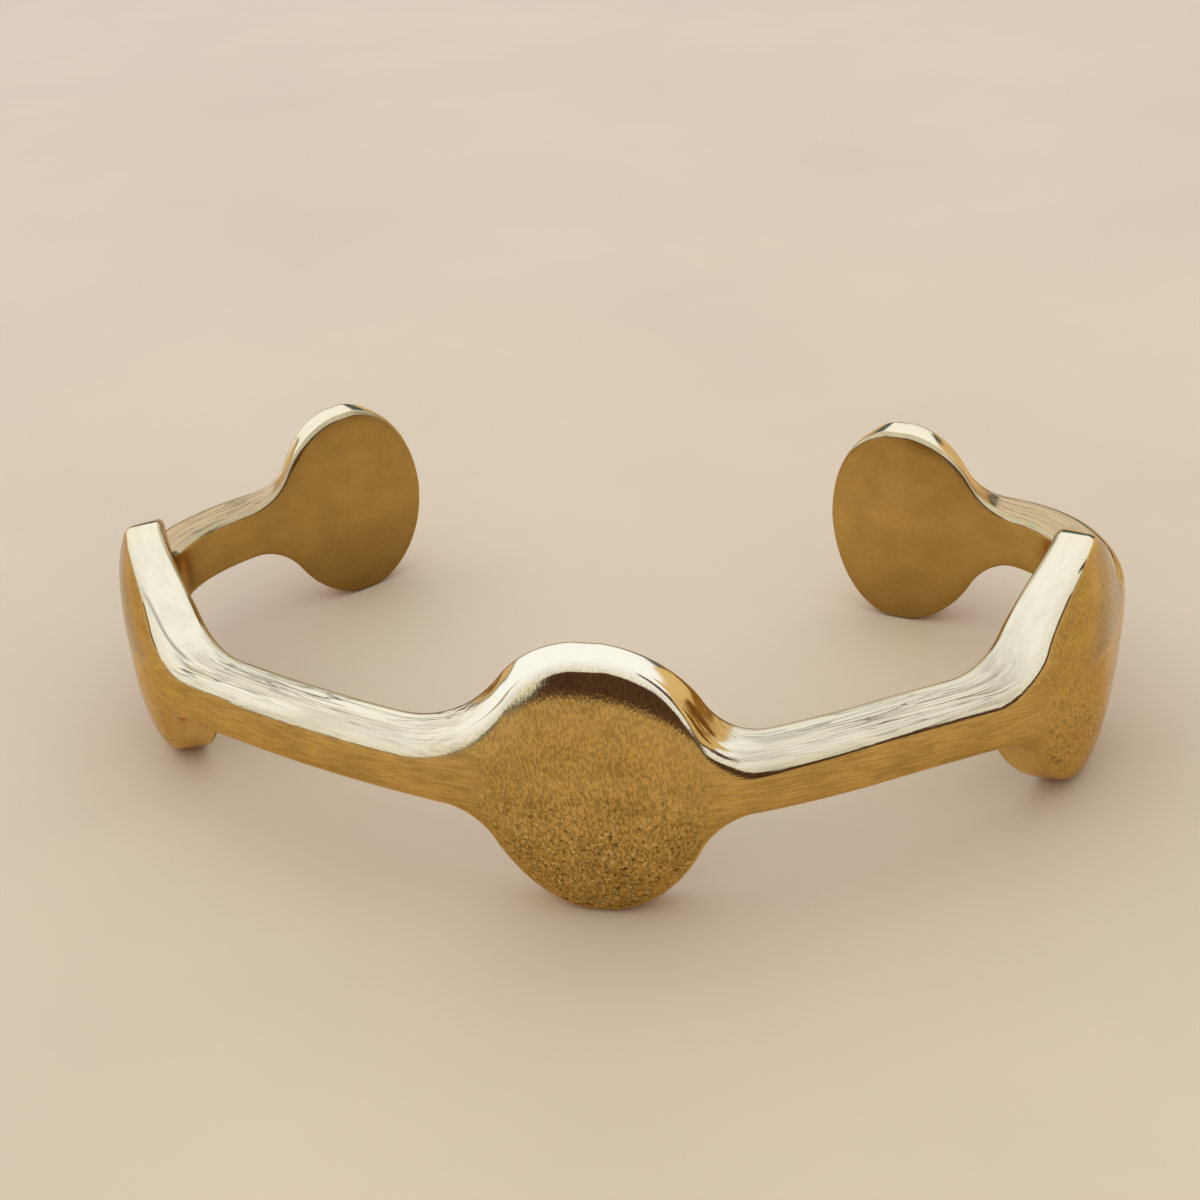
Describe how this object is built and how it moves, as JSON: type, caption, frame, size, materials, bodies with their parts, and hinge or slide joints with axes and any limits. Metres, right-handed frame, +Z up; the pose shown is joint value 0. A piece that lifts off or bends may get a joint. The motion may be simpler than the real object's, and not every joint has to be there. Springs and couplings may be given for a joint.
{
  "type": "cuff bracelet",
  "caption": "Open oval cuff bracelet of polished brass: domed discs joined by narrow bars, with a gap at the back for the wrist.",
  "frame": {"origin": "below the middle of the cuff, on the surface that its discs stand on", "axes": "+Z up, along the wearer's arm; +X across the wrist, to the right seen from the front disc; +Y from the front disc towards the opening"},
  "size_m": [0.0658, 0.0448, 0.0166],
  "materials": {
    "polished_brass": "polished, with fine hand-filing lines and light pitting"
  },
  "bodies": {
    "root": {"cuff": "polished_brass"}
  },
  "joints": []
}
